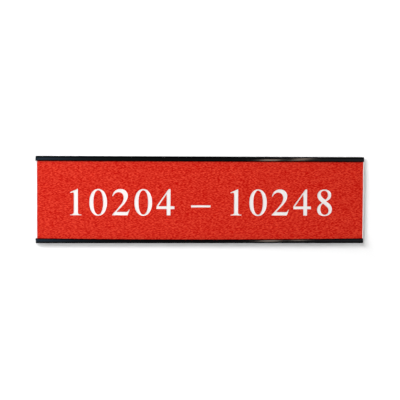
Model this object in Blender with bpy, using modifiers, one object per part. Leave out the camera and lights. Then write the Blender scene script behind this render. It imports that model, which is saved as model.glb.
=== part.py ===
"""Wall sign: an engraved two-ply plate that slides into a black extruded aluminium holder.

Metres, +Z up. The origin is the centre of the wall plane, on the adhesive faces of two strips of
foam tape. The sign faces -Y, and +X is to the right of someone reading it. Both ends of the holder
are open, so the plate slides out along X either way.
"""

import math

import bmesh
import bpy
from mathutils import Matrix

# Plate: engraving sheet, a thin coloured face on a white core
PLATE_LENGTH = 0.2032
PLATE_HEIGHT = 0.0508
CORE_THICKNESS = 0.00133
FACE_THICKNESS = 0.00025
END_BEVEL = 0.0012  # at 45 degrees on both ends, which bares the white core

# Fits
BOND_GAP = 0.00002  # glue line of the laminated sheet and of the tape
SLOT_CLEARANCE = 0.0002  # around the plate, on each side of it
PLATE_END_PROUD = 0.0004  # by which each end of the plate stands out of the holder

# Holder: one extrusion, with a web behind the plate and a lip over its upper and lower edges
WEB_THICKNESS = 0.0016
WALL_THICKNESS = 0.0012
LIP_THICKNESS = 0.0012
LIP_REACH = 0.0019  # from the inner side of the wall to the tip of the lip
FRONT_ROUND = 0.0009
BACK_ROUND = 0.0004
SLOT_ROUND = 0.0003

# Countersunk screw holes through the web, on the centre line behind the plate
SCREW_HOLE_DIAMETER = 0.0040
COUNTERSINK_DIAMETER = 0.0066
SCREW_END_INSET = 0.0250

# Foam tape on the back
TAPE_THICKNESS = 0.0010
TAPE_WIDTH = 0.0127
TAPE_END_INSET = 0.0060
TAPE_EDGE_INSET = 0.0050

# Fineness of round stretches
STEPS_PER_QUARTER = 8
HOLE_STEPS = 40
SMOOTH_ANGLE = math.radians(35)
WELD_DISTANCE = 0.000002

# Colours, linear
ANODISED_BLACK = (0.012, 0.012, 0.014)
FACE_RED = (0.640, 0.027, 0.015)
CORE_WHITE = (0.860, 0.850, 0.820)
FOAM_WHITE = (0.780, 0.770, 0.740)

# Sizes that follow from those above
PLATE_THICKNESS = CORE_THICKNESS + BOND_GAP + FACE_THICKNESS
SLOT_DEPTH = PLATE_THICKNESS + 2 * SLOT_CLEARANCE
HOLDER_LENGTH = PLATE_LENGTH - 2 * PLATE_END_PROUD
HOLDER_HEIGHT = PLATE_HEIGHT + 2 * (SLOT_CLEARANCE + WALL_THICKNESS)

# Planes across the depth, from the wall towards the reader
HOLDER_BACK_Y = -(TAPE_THICKNESS + BOND_GAP)
WEB_FRONT_Y = HOLDER_BACK_Y - WEB_THICKNESS
LIP_BACK_Y = WEB_FRONT_Y - SLOT_DEPTH
LIP_FRONT_Y = LIP_BACK_Y - LIP_THICKNESS
CORE_BACK_Y = WEB_FRONT_Y - SLOT_CLEARANCE
CORE_FRONT_Y = CORE_BACK_Y - CORE_THICKNESS
FACE_BACK_Y = CORE_FRONT_Y - BOND_GAP
FACE_FRONT_Y = FACE_BACK_Y - FACE_THICKNESS


def clear_scene():
    for obj in list(bpy.data.objects):
        bpy.data.objects.remove(obj)


def new_collection(name):
    collection = bpy.data.collections.new(name)
    bpy.context.scene.collection.children.link(collection)
    return collection


def new_material(name, colour, roughness, metallic=0.0):
    material = bpy.data.materials.new(name)
    material.use_nodes = True
    shader = material.node_tree.nodes["Principled BSDF"]
    shader.inputs["Base Color"].default_value = (*colour, 1.0)
    shader.inputs["Roughness"].default_value = roughness
    shader.inputs["Metallic"].default_value = metallic
    return material


def new_object(name, mesh, material, collection):
    mesh.name = name
    mesh.materials.clear()
    mesh.materials.append(material)
    obj = bpy.data.objects.new(name, mesh)
    collection.objects.link(obj)
    return obj


def new_empty(name, collection, location):
    empty = bpy.data.objects.new(name, None)
    empty.empty_display_size = PLATE_HEIGHT / 4
    empty.location = location
    collection.objects.link(empty)
    return empty


def parent_in_place(obj, parent):
    """Parents obj and leaves it where it is."""
    bpy.context.view_layer.update()
    obj.parent = parent
    obj.matrix_parent_inverse = parent.matrix_world.inverted()


def arc(centre, radius, start, end):
    """Points of an arc in a plane, from one angle in degrees to another, both ends included."""
    steps = max(2, round(STEPS_PER_QUARTER * abs(end - start) / 90))
    angles = [math.radians(start + (end - start) * i / steps) for i in range(steps + 1)]
    return [(centre[0] + radius * math.cos(a), centre[1] + radius * math.sin(a)) for a in angles]


def extruded_mesh(outline, length, collection):
    """A flat outline in the XY plane, extruded along Z by half the length each way."""
    curve = bpy.data.curves.new("outline", "CURVE")
    curve.dimensions = "2D"
    curve.fill_mode = "BOTH"
    curve.extrude = length / 2
    spline = curve.splines.new("POLY")
    spline.points.add(len(outline) - 1)
    for point, (x, y) in zip(spline.points, outline):
        point.co = (x, y, 0, 1)
    spline.use_cyclic_u = True
    guide = bpy.data.objects.new("outline", curve)
    collection.objects.link(guide)
    graph = bpy.context.evaluated_depsgraph_get()
    mesh = bpy.data.meshes.new_from_object(guide.evaluated_get(graph))
    bpy.data.objects.remove(guide)
    weld_caps(mesh)
    return mesh


def weld_caps(mesh):
    """Joins the loose caps of an extruded curve to its sides."""
    shape = bmesh.new()
    shape.from_mesh(mesh)
    bmesh.ops.remove_doubles(shape, verts=shape.verts, dist=WELD_DISTANCE)
    bmesh.ops.recalc_face_normals(shape, faces=shape.faces)
    shape.to_mesh(mesh)
    shape.free()


def holder_half_section():
    """Upper half of the holder's section as (y, z) points, from the back of the web to its front."""
    top = HOLDER_HEIGHT / 2
    slot_top = top - WALL_THICKNESS
    tip_round = LIP_THICKNESS / 2
    tip = slot_top - LIP_REACH
    return [
        *arc((HOLDER_BACK_Y - BACK_ROUND, top - BACK_ROUND), BACK_ROUND, 0, 90),
        *arc((LIP_FRONT_Y + FRONT_ROUND, top - FRONT_ROUND), FRONT_ROUND, 90, 180),
        *arc((LIP_FRONT_Y + tip_round, tip + tip_round), tip_round, 180, 360),
        *arc((LIP_BACK_Y + SLOT_ROUND, slot_top - SLOT_ROUND), SLOT_ROUND, 180, 90),
        *arc((WEB_FRONT_Y - SLOT_ROUND, slot_top - SLOT_ROUND), SLOT_ROUND, 90, 0),
    ]


def build_holder(parts, cutters):
    upper = holder_half_section()
    lower = [(y, -z) for y, z in reversed(upper)]
    black = new_material("anodised_black", ANODISED_BLACK, roughness=0.32, metallic=0.6)
    mesh = extruded_mesh(upper + lower, HOLDER_LENGTH, parts)
    mesh.shade_smooth()
    mesh.set_sharp_from_angle(angle=SMOOTH_ANGLE)
    holder = new_object("holder_channel", mesh, black, parts)
    # The section's x, y and the way it is extruded become Y, Z and X
    holder.rotation_euler = (math.radians(90), 0, math.radians(90))
    for side, label in ((-1, "left"), (1, "right")):
        cutter = screw_hole_cutter("screw_hole_" + label, cutters)
        cutter.location = (side * (HOLDER_LENGTH / 2 - SCREW_END_INSET), WEB_FRONT_Y, 0)
        hole = holder.modifiers.new(cutter.name, "BOOLEAN")
        hole.operation = "DIFFERENCE"
        hole.object = cutter
    return holder


def screw_hole_cutter(name, cutters):
    """A turned cutter whose axis points to the reader, with height 0 on the front of the web."""
    hole = SCREW_HOLE_DIAMETER / 2
    mouth = COUNTERSINK_DIAMETER / 2
    above = SLOT_DEPTH
    below = -2 * WEB_THICKNESS
    profile = ((0, above), (mouth, above), (mouth, 0), (hole, hole - mouth), (hole, below), (0, below))
    shape = bmesh.new()
    points = [shape.verts.new((radius, 0, height)) for radius, height in profile]
    for start, end in zip(points, points[1:]):
        shape.edges.new((start, end))
    mesh = bpy.data.meshes.new(name)
    shape.to_mesh(mesh)
    shape.free()
    cutter = bpy.data.objects.new(name, mesh)
    cutter.rotation_euler = (math.radians(90), 0, 0)
    cutter.hide_render = True
    cutter.display_type = "WIRE"
    cutters.objects.link(cutter)
    turn = cutter.modifiers.new("turn", "SCREW")
    turn.steps = HOLE_STEPS
    turn.render_steps = HOLE_STEPS
    turn.use_merge_vertices = True
    turn.merge_threshold = WELD_DISTANCE
    return cutter


def ply_section(back_y, front_y):
    """Section of one ply as (x, y) points: each end bevel is one plane through both plies."""
    end = PLATE_LENGTH / 2
    bevel_y = FACE_FRONT_Y + END_BEVEL  # the ends are square behind this plane

    def end_at(y):
        return end - max(0, bevel_y - y)

    right = [(end_at(back_y), back_y), (end_at(front_y), front_y)]
    if front_y < bevel_y < back_y:
        right.insert(1, (end, bevel_y))
    left = [(-x, y) for x, y in reversed(right)]
    return right + left


def build_plate(parts, slide):
    white = new_material("core_white", CORE_WHITE, roughness=0.45)
    red = new_material("face_red", FACE_RED, roughness=0.38)
    plies = (
        ("plate_core", CORE_BACK_Y, CORE_FRONT_Y, white),
        ("plate_face", FACE_BACK_Y, FACE_FRONT_Y, red),
    )
    for name, back_y, front_y, material in plies:
        mesh = extruded_mesh(ply_section(back_y, front_y), PLATE_HEIGHT, parts)
        parent_in_place(new_object(name, mesh, material, parts), slide)


def build_tape(parts, wall):
    foam = new_material("foam_white", FOAM_WHITE, roughness=0.9)
    size = (HOLDER_LENGTH - 2 * TAPE_END_INSET, TAPE_THICKNESS, TAPE_WIDTH)
    height = HOLDER_HEIGHT / 2 - TAPE_EDGE_INSET - TAPE_WIDTH / 2
    for side, label in ((1, "upper"), (-1, "lower")):
        shape = bmesh.new()
        bmesh.ops.create_cube(shape, size=1, matrix=Matrix.Diagonal((*size, 1)))
        mesh = bpy.data.meshes.new("tape")
        shape.to_mesh(mesh)
        shape.free()
        strip = new_object("tape_" + label, mesh, foam, parts)
        strip.location = (0, -TAPE_THICKNESS / 2, side * height)
        parent_in_place(strip, wall)


def main():
    clear_scene()
    parts = new_collection("wall_sign")
    cutters = new_collection("cutters")
    wall = new_empty("wall_plane", parts, (0, 0, 0))
    slide = new_empty("plate_slide", parts, (0, (CORE_BACK_Y + FACE_FRONT_Y) / 2, 0))
    parent_in_place(slide, wall)
    parent_in_place(build_holder(parts, cutters), wall)
    build_plate(parts, slide)
    build_tape(parts, wall)


main()
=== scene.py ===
"""Looks of the wall sign: an engraved red plate between the rounded lips of a black holder.

Metres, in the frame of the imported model: +X to the reader's right, +Y into the wall, +Z up.
"""

import math
import re

import bmesh
import bpy
from mathutils import Matrix, Vector, geometry


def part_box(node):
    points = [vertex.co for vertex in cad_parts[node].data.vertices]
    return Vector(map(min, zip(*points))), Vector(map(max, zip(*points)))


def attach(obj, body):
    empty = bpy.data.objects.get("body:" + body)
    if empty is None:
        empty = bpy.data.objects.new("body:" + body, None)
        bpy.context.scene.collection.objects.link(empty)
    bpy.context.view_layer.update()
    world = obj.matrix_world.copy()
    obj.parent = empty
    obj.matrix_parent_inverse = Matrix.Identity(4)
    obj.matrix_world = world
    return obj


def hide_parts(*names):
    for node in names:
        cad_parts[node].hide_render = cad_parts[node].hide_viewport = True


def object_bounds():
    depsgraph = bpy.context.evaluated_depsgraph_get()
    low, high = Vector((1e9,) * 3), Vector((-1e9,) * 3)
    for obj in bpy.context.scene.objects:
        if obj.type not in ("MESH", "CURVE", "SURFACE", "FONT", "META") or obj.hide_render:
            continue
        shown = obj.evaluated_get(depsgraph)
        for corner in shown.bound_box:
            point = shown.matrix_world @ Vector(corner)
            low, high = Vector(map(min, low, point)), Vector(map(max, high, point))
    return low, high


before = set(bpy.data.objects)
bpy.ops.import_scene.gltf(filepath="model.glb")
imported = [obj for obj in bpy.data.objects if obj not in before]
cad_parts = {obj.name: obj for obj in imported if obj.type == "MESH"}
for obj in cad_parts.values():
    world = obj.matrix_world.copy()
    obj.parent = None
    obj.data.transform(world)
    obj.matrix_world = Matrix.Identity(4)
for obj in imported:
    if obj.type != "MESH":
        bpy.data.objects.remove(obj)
cad_low, cad_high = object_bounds()

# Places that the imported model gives
HOLDER_LOW, HOLDER_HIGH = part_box("holder_channel")
CORE_LOW, CORE_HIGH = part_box("plate_core")
FACE_LOW, FACE_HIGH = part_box("plate_face")

# Section of the holder
WEB_THICKNESS = 0.0016
WEB_FRONT_Y = HOLDER_HIGH.y - WEB_THICKNESS
WALL_THICKNESS = 0.0012
LIP_THICKNESS = 0.0012
LIP_REACH = 0.0019  # from the inner side of the wall to the tip of the lip
LIP_CROWN_RADIUS = 0.0109  # of the slight bulge of a lip's front
LIP_SAG = 0.00075  # by which the edge of the lower lip hangs at mid length
FRONT_ROUND = 0.0009
BACK_ROUND = 0.0004
SLOT_ROUND = 0.0003
CUT_END_CHAMFER = 0.00012
HOLDER_STATIONS = 33  # sections along the holder
STEPS_PER_QUARTER = 16
SMOOTH_ANGLE = math.radians(35)

# Screw holes in the web
SCREW_HOLE_DIAMETER = 0.0040
COUNTERSINK_DIAMETER = 0.0066
SCREW_END_INSET = 0.0250
HOLE_STEPS = 72

# Plate
LEFT_BEVEL = 0.00145  # at 45 degrees, through the face into the core
RIGHT_BEVEL = 0.0008
ENGRAVED_INTO_CORE = 0.00012

# Engraved figures: outlines in thousandths of an em, FIGURE_UNITS high above the baseline
FIGURES = "10204 – 10248"
FIGURE_HEIGHT = 0.0161
FIGURE_UNITS = 676
FIGURE_ADVANCE = 500
SPACE_ADVANCE = 250
TRACKING = 80
FIGURES_DROP = 0.0015  # how far the middle of the figures lies below the middle of the plate
FIGURE_SWELL = 0.00006  # by which the cutter's width thickens each stroke
FIGURE_TAPER = 0.00010  # by which the walls of the engraving lean in at its floor
CURVE_STEPS = 14
OVAL_POWER = 0.94  # below 1, which makes an oval squarer than an ellipse
SAME_POINT = 1  # the ends of an outline are one point where they are closer than this
WELD_DISTANCE = 1e-7

# Tape: a foam core between two thinner films of adhesive
FILM_THICKNESS = 0.00008
FOAM_INSET = 0.00006
TAPE_CUT_SLANT = 0.0006

# Materials: sizes of a pattern's grains along X, Y and Z, colours and roughness at its low and its
# high values, and strength and distance of its bump
PATTERN_SPAN = (0.3, 0.7)  # the low and the high value of a pattern
NOISE_TURN = (0.5, 0.9, 0.3)  # keeps the noise's own grid away from the axes
HOLDER_GRAIN = (0.25, 0.00025, 0.00025)
HOLDER_DETAIL = 3
HOLDER_COLOURS = ((0.030, 0.030, 0.032), (0.042, 0.042, 0.045))
HOLDER_ROUGHNESS = (0.04, 0.08)
HOLDER_BUMP = (0.05, 0.00001)
HOLDER_METALLIC = 1.0
HOLDER_EDGE_TINT = (0.45, 0.45, 0.45, 1)  # of what the metal mirrors at a slant
FACE_GRAIN = (0.0013, 0.00025, 0.00025)
FACE_DETAIL = 0
FACE_COLOURS = ((0.54, 0.002, 0.000), (0.76, 0.049, 0.024))
FACE_COLOUR_SPAN = (0.41, 0.59)
FACE_ROUGHNESS = (0.36, 0.50)
FACE_BUMP = (0.15, 0.00005)
FACE_SPECULAR = 0.08
CORE_GRAIN = (0.0015, 0.0004, 0.0004)
CORE_DETAIL = 3
CORE_COLOURS = ((0.94, 0.938, 0.925), (0.975, 0.973, 0.965))
CORE_ROUGHNESS = (0.42, 0.58)
CORE_BUMP = (0.1, 0.00003)
FOAM_CELLS_PER_METRE = 3500
FOAM_COLOURS = ((0.62, 0.61, 0.58), (0.80, 0.79, 0.76))
FOAM_ROUGHNESS = 0.85
FOAM_BUMP = (0.5, 0.0001)

# Camera, fitted to the sign's outer corners: lens and sensor in millimetres, angles in degrees
CAMERA_LENS = 100
SENSOR_WIDTH = 36
CAMERA_AZIMUTH = -3.26
CAMERA_ELEVATION = 2.79
CAMERA_ROLL = 0.277
CAMERA_DISTANCE = 0.6900
CAMERA_AIM = Vector((-0.00025, 0, -0.00031))

# Light: the world's strength, and each panel's place, its width and height, and its power in watts
AMBIENT = 0.16
PANELS = {
    "key": ((-0.24, -0.50, 0.235), (0.44, 0.22), 2.70),
    "front": ((-0.30, -0.60, -0.14), (0.40, 0.40), 1.10),
    "fill": ((0.80, -0.09, 0.06), (0.08, 0.08), 2.8),
    "back": ((0, 0.9, 0), (1.0, 1.0), 7.0),
}

# Stage: a wall behind the sign and a floor below it. Their lift is light of their own, which only
# the rays that show the background see
WHITE = (1, 1, 1, 1)
STAGE_SIZE = 6
STAGE_LIFT = 1.0
FLOOR_HEIGHT = -1.2
WALL_GAP = 0.0003  # between the tape and the wall
# The wall's lift is painted light: low close to the sign so its shadow shows, full further off, and
# raised above the sign's top edge to clear the shade there
NEAR_LIFT = 0.12  # on the wall close to the sign, where the shadow shows
NEAR_LIFT_SPAN = (0.003, 0.18)  # distances from the sign over which that grows to STAGE_LIFT
TOP_LIFT = 0.25  # added to it at the sign's top and above
TOP_LIFT_SPAN = (0.018, 0.028)  # heights over which that sets in

# What the rails mirror: a dark half cylinder with a glow along its middle, and two strip lamps
FLAG_RADIUS = 1.0
FLAG_HALF_LENGTH = 1.5
FLAG_STEPS = 24
GLOW_HEIGHT = -0.048
GLOW_HALF_HEIGHT = 0.09
GLOW_FADE = 0.18
GLOW_STOPS = (  # places along X, with the colour of the glow there
    (-0.60, (0.20, 0.20, 0.20)),
    (-0.26, (0.75, 1.25, 1.65)),
    (-0.18, (0.55, 0.80, 1.05)),
    (-0.13, (0.26, 0.36, 0.42)),
    (-0.08, (0.17, 0.20, 0.20)),
    (-0.01, (0.13, 0.14, 0.14)),
    (0.13, (0.14, 0.14, 0.14)),
    (0.30, (0.40, 0.41, 0.42)),
    (0.60, (0.20, 0.20, 0.20)),
)
SIDE_GLOW = 0.45  # grey towards the ends of the half cylinder
SIDE_GLOW_SPAN = (0.50, 1.00)  # distances from its middle over which that sets in
LAMP_Y = -0.97
LAMP_COLOUR = (1.0, 0.80, 0.62, 1)
LAMPS = (  # lower end, upper end, width and strength
    ((0.157, -0.165), (0.161, 0.033), 0.026, 6.0),
    ((0.199, -0.095), (0.213, 0.170), 0.018, 5.0),
)


def arc(centre, radius, start, end):
    """Points of an arc in a plane, from one angle in degrees to another, both ends included."""
    steps = max(2, round(STEPS_PER_QUARTER * abs(end - start) / 90))
    angles = [math.radians(start + (end - start) * i / steps) for i in range(steps + 1)]
    return [(centre[0] + radius * math.cos(a), centre[1] + radius * math.sin(a)) for a in angles]


def new_object(name, shape, material):
    """An object made from a bmesh, which is freed."""
    bmesh.ops.recalc_face_normals(shape, faces=shape.faces)
    mesh = bpy.data.meshes.new(name)
    shape.to_mesh(mesh)
    shape.free()
    if material:
        mesh.materials.append(material)
    obj = bpy.data.objects.new(name, mesh)
    bpy.context.scene.collection.objects.link(obj)
    return obj


def loft(rings):
    """A closed bmesh through rings of points, with a face on the first ring and on the last."""
    shape = bmesh.new()
    rings = [[shape.verts.new(point) for point in ring] for ring in rings]
    shape.faces.new(rings[0])
    shape.faces.new(rings[-1])
    for near, far in zip(rings, rings[1:]):
        for i in range(len(near)):
            shape.faces.new((near[i - 1], near[i], far[i], far[i - 1]))
    bmesh.ops.recalc_face_normals(shape, faces=shape.faces)
    return shape


def cut(obj, cutter):
    """Cuts the cutter out of obj, for good, and removes the cutter."""
    boolean = obj.modifiers.new("cut", "BOOLEAN")
    boolean.operation = "DIFFERENCE"
    boolean.object = cutter
    graph = bpy.context.evaluated_depsgraph_get()
    mesh = bpy.data.meshes.new_from_object(obj.evaluated_get(graph))
    obj.modifiers.clear()
    obj.data = mesh
    bpy.data.objects.remove(cutter)


def add(tree, kind, inputs=None, **settings):
    """A shader node with its settings and inputs: an input is a value, or a socket to link from."""
    node = tree.nodes.new("ShaderNode" + kind)
    for name, value in settings.items():
        setattr(node, name, value)
    for name, value in (inputs or {}).items():
        if isinstance(value, bpy.types.NodeSocket):
            tree.links.new(value, node.inputs[name])
        else:
            node.inputs[name].default_value = value
    return node


def calculate(tree, operation, *values):
    """What a Math node makes of one or two values."""
    return add(tree, "Math", dict(enumerate(values)), operation=operation).outputs[0]


def remap(tree, value, source, target=(0, 1)):
    """A value carried over from one span to another, and held at the ends of that."""
    limits = zip(("From Min", "From Max", "To Min", "To Max"), (*source, *target))
    return add(tree, "MapRange", {"Value": value, **dict(limits)}).outputs[0]


def own_place(tree):
    """X, Y and Z of a point in its object's own frame."""
    return add(tree, "SeparateXYZ", {0: add(tree, "TexCoord").outputs["Object"]}).outputs


def new_material(name):
    """A material, its node tree and its Principled BSDF."""
    material = bpy.data.materials.new(name)
    material.use_nodes = True
    tree = material.node_tree
    return material, tree, tree.nodes["Principled BSDF"]


def bare_material(name):
    """A material whose node tree is empty."""
    material, tree, _ = new_material(name)
    tree.nodes.clear()
    return material, tree


def stretched_noise(tree, size, detail):
    """Noise whose grains have about the given size along X, Y and Z, in metres."""
    place = add(tree, "TexCoord").outputs["Object"]
    scale = [1 / length for length in size]
    scaled = add(tree, "Mapping", {"Vector": place, "Scale": scale, "Rotation": NOISE_TURN}).outputs[0]
    return add(tree, "TexNoise", {"Vector": scaled, "Scale": 1.0, "Detail": detail}).outputs[0]


def vary(tree, shader, socket, pattern, limits, span=PATTERN_SPAN):
    """Takes a shader's input from one limit to the other as the pattern goes through the span."""
    ramp = add(tree, "ValToRGB", {"Fac": pattern})
    for element, position, value in zip(ramp.color_ramp.elements, span, limits):
        element.position = position
        element.color = (*value, 1) if isinstance(value, tuple) else (value, value, value, 1)
    tree.links.new(ramp.outputs[0], shader.inputs[socket])


def emboss(tree, shader, pattern, bump):
    """Gives a shader the pattern as a bump of that strength and distance."""
    strength, distance = bump
    relief = add(tree, "Bump", {"Height": pattern, "Strength": strength, "Distance": distance})
    tree.links.new(relief.outputs[0], shader.inputs["Normal"])


def anodised_black():
    """Black metal with fine lines along the extrusion."""
    material, tree, shader = new_material("anodised_black")
    lines = stretched_noise(tree, HOLDER_GRAIN, HOLDER_DETAIL)
    vary(tree, shader, "Base Color", lines, HOLDER_COLOURS)
    vary(tree, shader, "Roughness", lines, HOLDER_ROUGHNESS)
    emboss(tree, shader, lines, HOLDER_BUMP)
    shader.inputs["Metallic"].default_value = HOLDER_METALLIC
    shader.inputs["Specular Tint"].default_value = HOLDER_EDGE_TINT
    return material


def face_red():
    """Satin red plastic with short grains along the plate."""
    material, tree, shader = new_material("face_red")
    grain = stretched_noise(tree, FACE_GRAIN, FACE_DETAIL)
    vary(tree, shader, "Base Color", grain, FACE_COLOURS, FACE_COLOUR_SPAN)
    vary(tree, shader, "Roughness", grain, FACE_ROUGHNESS)
    emboss(tree, shader, grain, FACE_BUMP)
    shader.inputs["Specular IOR Level"].default_value = FACE_SPECULAR
    return material


def core_white():
    """White plastic with faint marks of the cutter."""
    material, tree, shader = new_material("core_white")
    marks = stretched_noise(tree, CORE_GRAIN, CORE_DETAIL)
    vary(tree, shader, "Base Color", marks, CORE_COLOURS)
    vary(tree, shader, "Roughness", marks, CORE_ROUGHNESS)
    emboss(tree, shader, marks, CORE_BUMP)
    return material


def foam_tape():
    """White foam with small cells."""
    material, tree, shader = new_material("foam_tape")
    place = add(tree, "TexCoord").outputs["Object"]
    cells = add(tree, "TexVoronoi", {"Vector": place, "Scale": FOAM_CELLS_PER_METRE}).outputs["Distance"]
    vary(tree, shader, "Base Color", cells, FOAM_COLOURS)
    emboss(tree, shader, cells, FOAM_BUMP)
    shader.inputs["Roughness"].default_value = FOAM_ROUGHNESS
    return material


def half_section(reach):
    """Upper half of the holder's section as (y, z) points, with a lip of the given reach."""
    back, front = HOLDER_HIGH.y, HOLDER_LOW.y
    top = HOLDER_HIGH.z
    lip_back = front + LIP_THICKNESS
    slot_top = top - WALL_THICKNESS
    crown_half = (WALL_THICKNESS + reach - FRONT_ROUND - LIP_THICKNESS / 2) / 2
    bulge = crown_half * crown_half / (2 * LIP_CROWN_RADIUS)
    tip_round = (LIP_THICKNESS - bulge) / 2
    tip = slot_top - reach
    crown_edge = front + bulge
    crown_top, crown_bottom = top - FRONT_ROUND, tip + tip_round
    crown = [
        (front + bulge * t * t, crown_top + (crown_bottom - crown_top) * (t + 1) / 2)
        for t in [i / STEPS_PER_QUARTER for i in range(1 - STEPS_PER_QUARTER, STEPS_PER_QUARTER)]
    ]
    return [
        *arc((back - BACK_ROUND, top - BACK_ROUND), BACK_ROUND, 0, 90),
        *arc((crown_edge + FRONT_ROUND, crown_top), FRONT_ROUND, 90, 180),
        *crown,
        *arc((crown_edge + tip_round, crown_bottom), tip_round, 180, 360),
        *arc((lip_back + SLOT_ROUND, slot_top - SLOT_ROUND), SLOT_ROUND, 180, 90),
        *arc((WEB_FRONT_Y - SLOT_ROUND, slot_top - SLOT_ROUND), SLOT_ROUND, 90, 0),
    ]


def holder_ring(part):
    """The holder's section at a place along it, from -1 at its left end to 1 at its right."""
    x = part * (HOLDER_HIGH.x - CUT_END_CHAMFER)
    upper = half_section(LIP_REACH)
    lower = half_section(LIP_REACH - LIP_SAG * (1 - part * part))
    return [(x, y, z) for y, z in upper] + [(x, y, -z) for y, z in reversed(lower)]


def screw_hole_cutter(mouth_centre):
    """A countersunk hole's shape, turned about Y, whose mouth is on the front of the web."""
    hole = SCREW_HOLE_DIAMETER / 2
    mouth = COUNTERSINK_DIAMETER / 2
    profile = ((mouth, -WEB_THICKNESS), (mouth, 0), (hole, mouth - hole), (hole, 2 * WEB_THICKNESS))
    turns = [2 * math.pi * i / HOLE_STEPS for i in range(HOLE_STEPS)]
    rings = [
        [mouth_centre + Vector((radius * math.cos(t), depth, radius * math.sin(t))) for t in turns]
        for radius, depth in profile
    ]
    return new_object("screw_hole", loft(rings), None)


def build_holder():
    """The extrusion, with chamfers where it is cut off and two screw holes."""
    spans = HOLDER_STATIONS - 1
    shape = loft([holder_ring(2 * i / spans - 1) for i in range(HOLDER_STATIONS)])
    ends = [face for face in shape.faces if len(face.verts) > 4]  # all others have four corners
    bmesh.ops.inset_individual(
        shape, faces=ends, thickness=CUT_END_CHAMFER, depth=CUT_END_CHAMFER, use_even_offset=True
    )
    holder = new_object("holder_extrusion", shape, anodised_black())
    for x in (HOLDER_LOW.x + SCREW_END_INSET, HOLDER_HIGH.x - SCREW_END_INSET):
        cut(holder, screw_hole_cutter(Vector((x, WEB_FRONT_Y, 0))))
    holder.data.shade_smooth()
    holder.data.set_sharp_from_angle(angle=SMOOTH_ANGLE)
    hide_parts("holder_channel")
    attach(holder, "holder")


def outline(text):
    """Points of a closed outline written with M, L and C commands, as on a drawing."""
    points = []
    for command, numbers in re.findall(r"([MLC])([^MLC]*)", text):
        values = [float(n) for n in numbers.split()]
        ends = [Vector(pair) for pair in zip(values[::2], values[1::2])]
        if command == "C":
            points += geometry.interpolate_bezier(points[-1], *ends, CURVE_STEPS)[1:]
        else:
            points += ends
    if (points[0] - points[-1]).length < SAME_POINT:
        points.pop()
    return points


def oval(x, y, half_width, half_height):
    """Points of an upright oval, a little squarer than an ellipse."""
    angles = [2 * math.pi * i / (4 * CURVE_STEPS) for i in range(4 * CURVE_STEPS)]

    def rounded(value):
        return math.copysign(abs(value) ** OVAL_POWER, value)

    return [
        Vector((x + half_width * rounded(math.cos(a)), y + half_height * rounded(math.sin(a))))
        for a in angles
    ]


def figure_outlines():
    """Outlines of each figure: upright stems, thin joins and bracketed feet."""
    return {
        "0": [oval(250, 331, 226, 345), oval(250, 331, 126, 316)],
        "1": [
            outline(
                "M 111 590 L 118 572 C 148 584 166 588 180 588 C 200 588 206 572 206 536 L 206 84"
                " C 206 40 186 17 118 15 L 118 0 L 396 0 L 396 15 C 328 16 308 34 308 74"
                " L 308 676 L 296 676"
            )
        ],
        "2": [
            outline(
                "M 30 0 L 424 0 L 475 141 L 462 146 C 438 100 421 84 382 84 L 138 84"
                " C 268 222 430 356 430 494 C 430 600 352 676 243 676 C 134 676 53 606 31 494 L 52 489"
                " C 82 560 130 598 194 598 C 272 598 326 542 326 458 C 326 340 250 255 30 13"
            )
        ],
        "4": [
            outline(
                "M 474 163 L 474 232 L 372 232 L 372 676 L 326 676 L 12 232 L 12 165 L 276 165 L 276 0"
                " L 372 0 L 372 163"
            ),
            outline("M 276 232 L 54 232 L 276 552"),
        ],
        "8": [
            outline(
                "M 445 155 C 445 56 365 -14 251 -14 C 134 -14 56 52 56 151 C 56 220 91 266 186 332"
                " C 100 402 62 455 62 522 C 62 611 141 676 248 676 C 350 676 424 614 424 528"
                " C 424 462 383 416 290 369 C 405 295 445 240 445 155"
            ),
            outline(
                "M 340 530 C 340 600 304 646 244 646 C 188 646 150 612 150 560 C 150 508 184 464 272 408"
                " C 318 440 340 480 340 530"
            ),
            outline(
                "M 358 132 C 358 186 328 226 208 314 C 162 272 142 228 142 165 C 142 77 186 16 254 16"
                " C 316 16 358 62 358 132"
            ),
        ],
        "–": [outline("M 0 208 L 500 208 L 500 258 L 0 258")],
    }


def figures_curve():
    """A flat curve of the figures in a row, with its origin in their middle."""
    outlines = figure_outlines()
    curve = bpy.data.curves.new("figures", "CURVE")
    curve.dimensions = "2D"
    curve.fill_mode = "BOTH"
    advances = [SPACE_ADVANCE if c == " " else FIGURE_ADVANCE for c in FIGURES]
    width = sum(advances) + TRACKING * (len(FIGURES) - 1)
    unit = FIGURE_HEIGHT / FIGURE_UNITS
    left = -width / 2
    for character, advance in zip(FIGURES, advances):
        for points in outlines.get(character, []):
            spline = curve.splines.new("POLY")
            spline.points.add(len(points) - 1)
            for knot, point in zip(spline.points, points):
                knot.co = ((left + point.x) * unit, (point.y - FIGURE_UNITS / 2) * unit, 0, 1)
            spline.use_cyclic_u = True
        left += advance + TRACKING
    return curve


def figures_cutter():
    """The engraved figures as solids, from in front of the plate to the depth of the engraving."""
    floor = CORE_LOW.y + ENGRAVED_INTO_CORE
    front = FACE_LOW.y - ENGRAVED_INTO_CORE
    curve = figures_curve()
    curve.extrude = (floor - front) / 2 - FIGURE_TAPER
    curve.bevel_depth = FIGURE_TAPER
    curve.bevel_resolution = 0
    curve.offset = FIGURE_SWELL - FIGURE_TAPER
    guide = bpy.data.objects.new("figures", curve)
    bpy.context.scene.collection.objects.link(guide)
    graph = bpy.context.evaluated_depsgraph_get()
    mesh = bpy.data.meshes.new_from_object(guide.evaluated_get(graph))
    bpy.data.objects.remove(guide)
    middle = Vector((0, (floor + front) / 2, -FIGURES_DROP))
    mesh.transform(Matrix.Translation(middle) @ Matrix.Rotation(math.radians(90), 4, "X"))
    shape = bmesh.new()
    shape.from_mesh(mesh)
    bmesh.ops.remove_doubles(shape, verts=shape.verts, dist=WELD_DISTANCE)
    return new_object("figures", shape, None)


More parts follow.
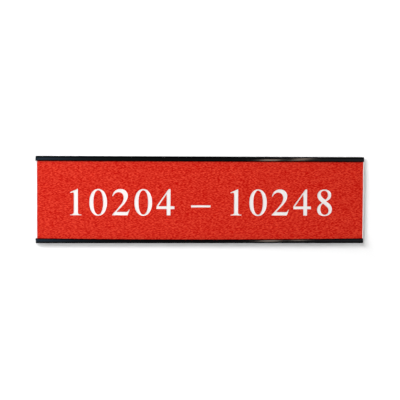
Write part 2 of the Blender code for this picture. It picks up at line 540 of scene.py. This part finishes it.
def ply_end(back, front, bevel):
    """The right end of a ply's section, from back to front, on a bevel that runs through both plies."""
    bevel_back = FACE_LOW.y + bevel
    depths = [back, bevel_back, front] if front < bevel_back < back else [back, front]
    return [(CORE_HIGH.x - max(0, bevel_back - y), y) for y in depths]


def build_plate():
    """The two plies of the plate, with the figures cut through the face and into the core."""
    plies = (
        ("plate_core_engraved", "plate_core", CORE_HIGH.y, CORE_LOW.y, "core_white", core_white()),
        ("plate_face_engraved", "plate_face", FACE_HIGH.y, FACE_LOW.y, "face_red", face_red()),
    )
    for name, node, back, front, slot, material in plies:
        right = ply_end(back, front, RIGHT_BEVEL)
        left = [(-x, y) for x, y in reversed(ply_end(back, front, LEFT_BEVEL))]
        rings = [[(x, y, z) for x, y in right + left] for z in (CORE_LOW.z, CORE_HIGH.z)]
        ply = new_object(name, loft(rings), material)
        cut(ply, figures_cutter())
        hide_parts(node)
        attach(ply, "plate")


def build_tape():
    """Two strips on the back, each with a foam core set in a little and ends cut at a slant."""
    material = foam_tape()
    for label in ("upper", "lower"):
        node = "tape_" + label
        low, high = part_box(node)
        section = [
            (low.y, low.z),
            (low.y + FILM_THICKNESS, low.z),
            (low.y + FILM_THICKNESS, low.z + FOAM_INSET),
            (high.y - FILM_THICKNESS, low.z + FOAM_INSET),
            (high.y - FILM_THICKNESS, low.z),
            (high.y, low.z),
        ]
        section += [(y, low.z + high.z - z) for y, z in reversed(section)]
        slants = [TAPE_CUT_SLANT * (z - low.z) / (high.z - low.z) for y, z in section]
        left = [(low.x + slant, y, z) for slant, (y, z) in zip(slants, section)]
        right = [(high.x - slant, y, z) for slant, (y, z) in zip(slants, section)]
        strip = new_object("tape_strip_" + label, loft([left, right]), material)
        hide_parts(node)
        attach(strip, "holder")


def background_ray(tree):
    """1 for the rays that show the background: to the camera, and in gloss and glass."""
    rays = add(tree, "LightPath").outputs
    shown = calculate(tree, "MAXIMUM", rays["Is Camera Ray"], rays["Is Glossy Ray"])
    return calculate(tree, "MAXIMUM", shown, rays["Is Transmission Ray"])


def white_paint(tree, lift):
    """White that keeps shadows, lifted by light of its own for the rays that show the background."""
    paint = add(tree, "BsdfDiffuse", {"Color": WHITE})
    strength = calculate(tree, "MULTIPLY", background_ray(tree), lift)
    glow = add(tree, "Emission", {"Color": WHITE, "Strength": strength})
    return add(tree, "AddShader", {0: paint.outputs[0], 1: glow.outputs[0]}).outputs[0]


def white_wall():
    """White paint whose lift grows away from the sign, seen only from the front."""
    material, tree = bare_material("white_wall")
    place = own_place(tree)  # Y points up on the wall's plane
    across = calculate(tree, "SUBTRACT", calculate(tree, "ABSOLUTE", place["X"]), cad_high.x)
    upward = calculate(tree, "SUBTRACT", calculate(tree, "ABSOLUTE", place["Y"]), cad_high.z)
    away = calculate(tree, "MAXIMUM", across, upward)
    # painted light: low near the sign, growing away from it, and raised above its top edge to clear the
    # shade there
    near = remap(tree, away, NEAR_LIFT_SPAN, (NEAR_LIFT, STAGE_LIFT))
    above = remap(tree, place["Y"], TOP_LIFT_SPAN, (0, TOP_LIFT))
    paint = white_paint(tree, calculate(tree, "ADD", near, above))
    behind = add(tree, "NewGeometry").outputs["Backfacing"]
    clear = add(tree, "BsdfTransparent").outputs[0]
    shown = add(tree, "MixShader", {0: behind, 1: paint, 2: clear})
    add(tree, "OutputMaterial", {"Surface": shown.outputs[0]})
    return material


def white_floor():
    """White paint with the same lift all over."""
    material, tree = bare_material("white_floor")
    add(tree, "OutputMaterial", {"Surface": white_paint(tree, STAGE_LIFT)})
    return material


def stage_plane(name, place, rotation, material):
    """A square plane that is part of the stage."""
    bpy.ops.mesh.primitive_plane_add(size=STAGE_SIZE, location=place, rotation=rotation)
    plane = bpy.context.object
    plane.name = name
    plane.data.materials.append(material)
    return plane


def build_stage():
    """A white wall behind the sign and a white floor below it."""
    wall_y = cad_high.y + WALL_GAP
    wall = stage_plane("wall", (0, wall_y, 0), (math.radians(90), 0, 0), white_wall())
    wall.visible_shadow = False  # so that light from behind reaches the back of the sign
    wall.visible_glossy = False  # so that the metal on the back mirrors the world
    stage_plane("floor", (0, wall_y - STAGE_SIZE / 2, FLOOR_HEIGHT), (0, 0, 0), white_floor())


def build_world():
    """A white world, dimmed for the rays that only bring light."""
    world = bpy.data.worlds.new("studio")
    world.use_nodes = True
    tree = world.node_tree
    tree.nodes.clear()
    strength = remap(tree, background_ray(tree), (0, 1), (AMBIENT, 1))
    sky = add(tree, "Background", {"Color": WHITE, "Strength": strength})
    add(tree, "OutputWorld", {"Surface": sky.outputs[0]})
    bpy.context.scene.world = world


def area_light(name, place, size, power):
    """A panel of light that faces the sign and that only matt surfaces show."""
    light = bpy.data.lights.new(name, "AREA")
    light.shape = "RECTANGLE"
    light.size, light.size_y = size
    light.energy = power
    obj = bpy.data.objects.new(name, light)
    obj.location = place
    obj.rotation_euler = (-Vector(place)).to_track_quat("-Z", "Y").to_euler()
    obj.visible_camera = False
    obj.visible_glossy = False
    bpy.context.scene.collection.objects.link(obj)


def mirrored_only(obj):
    """Makes obj a stage piece that only reflections show."""
    obj.visible_camera = False
    obj.visible_diffuse = False
    obj.visible_shadow = False
    obj.visible_transmission = False


def flag_material():
    """Black, with a glow along the middle whose colour changes along X, and grey towards both ends."""
    material, tree = bare_material("flag")
    place = own_place(tree)
    low, high = GLOW_STOPS[0][0], GLOW_STOPS[-1][0]
    ramp = add(tree, "ValToRGB", {"Fac": remap(tree, place["X"], (low, high))})
    elements = ramp.color_ramp.elements
    for x, colour in GLOW_STOPS[1:-1]:
        elements.new((x - low) / (high - low))
    for element, (x, colour) in zip(elements, GLOW_STOPS):
        element.color = (*colour, 1)
    away = calculate(tree, "ABSOLUTE", calculate(tree, "SUBTRACT", place["Z"], GLOW_HEIGHT))
    fade = remap(tree, away, (GLOW_HALF_HEIGHT, GLOW_HALF_HEIGHT + GLOW_FADE), (1, 0))
    middle = add(tree, "Emission", {"Color": ramp.outputs[0], "Strength": fade})
    aside = calculate(tree, "ABSOLUTE", place["X"])
    rise = remap(tree, aside, SIDE_GLOW_SPAN, (0, SIDE_GLOW))
    sides = add(tree, "Emission", {"Color": WHITE, "Strength": rise})
    both = add(tree, "AddShader", {0: middle.outputs[0], 1: sides.outputs[0]})
    add(tree, "OutputMaterial", {"Surface": both.outputs[0]})
    return material


def build_flag():
    """A half cylinder round the front of the sign."""
    turns = [math.pi * (0.5 + i / FLAG_STEPS) for i in range(FLAG_STEPS + 1)]
    points = [(FLAG_RADIUS * math.cos(t), FLAG_RADIUS * math.sin(t)) for t in turns]
    shape = bmesh.new()
    left = [shape.verts.new((-FLAG_HALF_LENGTH, y, z)) for y, z in points]
    right = [shape.verts.new((FLAG_HALF_LENGTH, y, z)) for y, z in points]
    for i in range(FLAG_STEPS):
        shape.faces.new((left[i], left[i + 1], right[i + 1], right[i]))
    mirrored_only(new_object("flag", shape, flag_material()))


def build_lamps():
    """Two strip lamps in front of the flag, which show as warm streaks on both rails."""
    for number, (low, high, width, strength) in enumerate(LAMPS):
        material, tree = bare_material(f"lamp_{number}")
        glow = add(tree, "Emission", {"Color": LAMP_COLOUR, "Strength": strength})
        add(tree, "OutputMaterial", {"Surface": glow.outputs[0]})
        low, high = [Vector((x, LAMP_Y, z)) for x, z in (low, high)]
        side = (high - low).cross(Vector((0, 1, 0))).normalized() * width / 2
        corners = (low - side, low + side, high + side, high - side)
        shape = bmesh.new()
        shape.faces.new([shape.verts.new(corner) for corner in corners])
        mirrored_only(new_object(f"lamp_{number}", shape, material))


def build_lights():
    """The panels that light the sign, and what its rails mirror."""
    for name, (place, size, power) in PANELS.items():
        area_light(name, place, size, power)
    build_flag()
    build_lamps()


def build_camera():
    """The camera, turned about CAMERA_AIM to where the photograph was taken from."""
    data = bpy.data.cameras.new("camera")
    data.lens = CAMERA_LENS
    data.sensor_width = SENSOR_WIDTH
    azimuth, elevation = math.radians(CAMERA_AZIMUTH), math.radians(CAMERA_ELEVATION)
    level = Vector((math.sin(azimuth), -math.cos(azimuth), 0))
    back = level * math.cos(elevation) + Vector((0, 0, math.sin(elevation)))
    turn = (-back).to_track_quat("-Z", "Y").to_matrix().to_4x4()
    roll = Matrix.Rotation(math.radians(CAMERA_ROLL), 4, "Z")
    camera = bpy.data.objects.new("camera", data)
    camera.matrix_world = Matrix.Translation(CAMERA_AIM + back * CAMERA_DISTANCE) @ turn @ roll
    bpy.context.scene.collection.objects.link(camera)
    bpy.context.scene.camera = camera


def main():
    bpy.context.scene.view_settings.view_transform = "Standard"
    build_holder()
    build_plate()
    build_tape()
    build_stage()
    build_world()
    build_lights()
    build_camera()


main()
